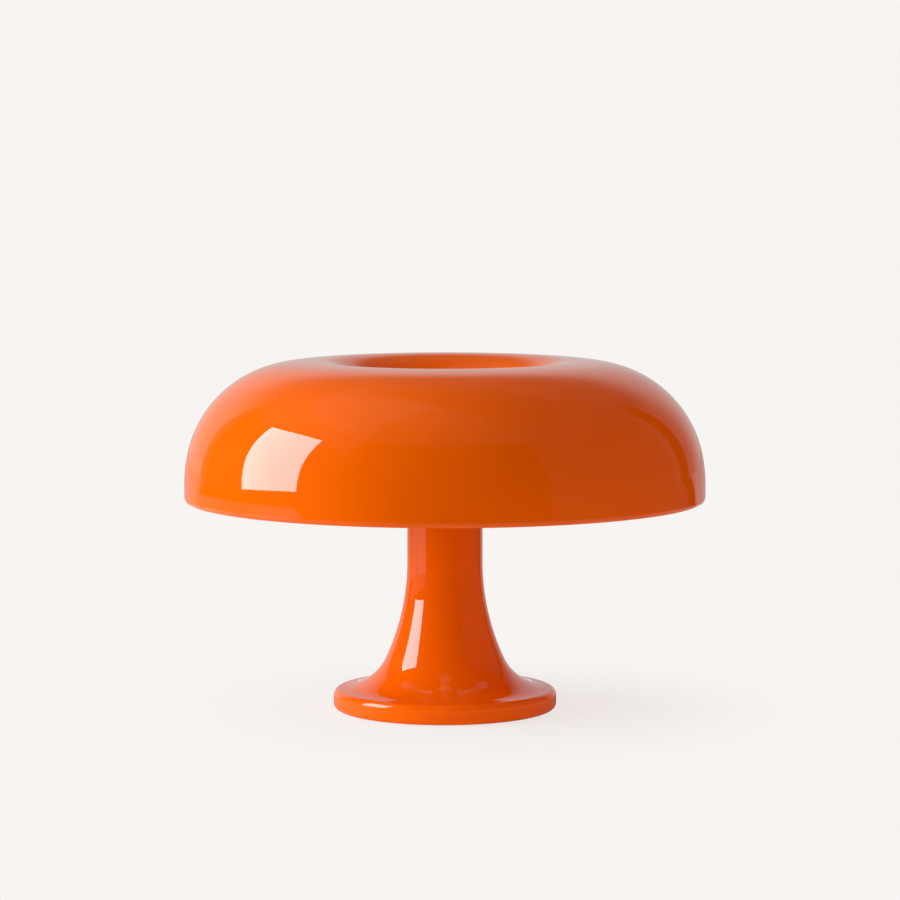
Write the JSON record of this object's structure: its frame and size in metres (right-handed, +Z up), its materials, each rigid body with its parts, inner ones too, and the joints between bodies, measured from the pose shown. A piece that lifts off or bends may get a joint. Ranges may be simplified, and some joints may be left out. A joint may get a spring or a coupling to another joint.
{
  "type": "mushroom table lamp",
  "caption": "Table lamp with a wide ring-shaped shade, a crater in its top, on a hollow stem that flares into a round foot.",
  "frame": {"origin": "centre of the foot's underside, on the table", "axes": "+Z up along the lamp's axis; +X and +Y level; the cable inlet is at the rear, on +Y"},
  "size_m": [0.32, 0.32, 0.2155],
  "materials": {
    "orange_plastic": "polished injection moulding, clear orange, slightly deeper in the crater",
    "black_plastic": "fine-grained moulding",
    "white_plastic": "heat-resistant moulding, off-white",
    "foot_rubber": "matt ring",
    "cast_iron": "as cast",
    "zinc_steel": "zinc plated",
    "brass": "pressed sheet",
    "cap_metal": "nickel-plated thread",
    "solder": "tinned",
    "frosted_glass": "frosted inside",
    "brown_insulation": "smooth insulation",
    "blue_insulation": "smooth insulation"
  },
  "bodies": {
    "lamp_body": {"stem_and_foot": "orange_plastic", "base_plate": "black_plastic", "base_screws": "zinc_steel", "foot_pad": "foot_rubber", "ballast_ring": "cast_iron", "cable_inlet_bush": "black_plastic", "terminal_block": "white_plastic", "terminal_screws": "zinc_steel", "tie_tube": "zinc_steel", "lower_washer": "zinc_steel", "lower_nut": "zinc_steel", "socket_hub": "zinc_steel", "upper_washer": "zinc_steel", "upper_nut": "zinc_steel", "hub_lid": "white_plastic", "lid_screws": "zinc_steel", "holder_screws": "zinc_steel", "lead_live": "brown_insulation", "lead_neutral": "blue_insulation", "live_link": "brown_insulation", "neutral_link": "blue_insulation", "lampholder_1": "white_plastic", "holder_shell_1": "brass", "holder_contact_1": "brass", "lampholder_2": "white_plastic", "holder_shell_2": "brass", "holder_contact_2": "brass", "lampholder_3": "white_plastic", "holder_shell_3": "brass", "holder_contact_3": "brass", "lampholder_4": "white_plastic", "holder_shell_4": "brass", "holder_contact_4": "brass"},
    "shade": {"shade": "orange_plastic"},
    "bulb_1_foot": {"bulb_contact_1": "solder"},
    "bulb_1": {"bulb_cap_1": "cap_metal", "bulb_glass_1": "frosted_glass"},
    "bulb_2_foot": {"bulb_contact_2": "solder"},
    "bulb_2": {"bulb_cap_2": "cap_metal", "bulb_glass_2": "frosted_glass"},
    "bulb_3_foot": {"bulb_contact_3": "solder"},
    "bulb_3": {"bulb_cap_3": "cap_metal", "bulb_glass_3": "frosted_glass"},
    "bulb_4_foot": {"bulb_contact_4": "solder"},
    "bulb_4": {"bulb_cap_4": "cap_metal", "bulb_glass_4": "frosted_glass"}
  },
  "joints": [
    {"name": "shade_lift", "type": "slide", "parent": "lamp_body", "child": "shade", "axis": [0, 0, 1], "range_m": [0, 0.12]},
    {"name": "bulb_1_travel", "type": "slide", "parent": "lamp_body", "child": "bulb_1_foot", "axis": [1, 0, 0], "range_m": [0, 0.01412]},
    {"name": "bulb_1_turn", "type": "hinge", "parent": "bulb_1_foot", "child": "bulb_1", "pos_m": [0.057, 0, 0.155], "axis": [1, 0, 0], "range_deg": [0, 1800]},
    {"name": "bulb_2_travel", "type": "slide", "parent": "lamp_body", "child": "bulb_2_foot", "axis": [0, 1, 0], "range_m": [0, 0.01412]},
    {"name": "bulb_2_turn", "type": "hinge", "parent": "bulb_2_foot", "child": "bulb_2", "pos_m": [0, 0.057, 0.155], "axis": [0, 1, 0], "range_deg": [0, 1800]},
    {"name": "bulb_3_travel", "type": "slide", "parent": "lamp_body", "child": "bulb_3_foot", "axis": [-1, 0, 0], "range_m": [0, 0.01412]},
    {"name": "bulb_3_turn", "type": "hinge", "parent": "bulb_3_foot", "child": "bulb_3", "pos_m": [-0.057, 0, 0.155], "axis": [-1, 0, 0], "range_deg": [0, 1800]},
    {"name": "bulb_4_travel", "type": "slide", "parent": "lamp_body", "child": "bulb_4_foot", "axis": [0, -1, 0], "range_m": [0, 0.01412]},
    {"name": "bulb_4_turn", "type": "hinge", "parent": "bulb_4_foot", "child": "bulb_4", "pos_m": [0, -0.057, 0.155], "axis": [0, -1, 0], "range_deg": [0, 1800]}
  ],
  "couplings": [
    {"joint": "bulb_1_travel", "follows": "bulb_1_turn", "m_per_rad": 0.0004491},
    {"joint": "bulb_2_travel", "follows": "bulb_2_turn", "m_per_rad": 0.0004491},
    {"joint": "bulb_3_travel", "follows": "bulb_3_turn", "m_per_rad": 0.0004491},
    {"joint": "bulb_4_travel", "follows": "bulb_4_turn", "m_per_rad": 0.0004491}
  ]
}
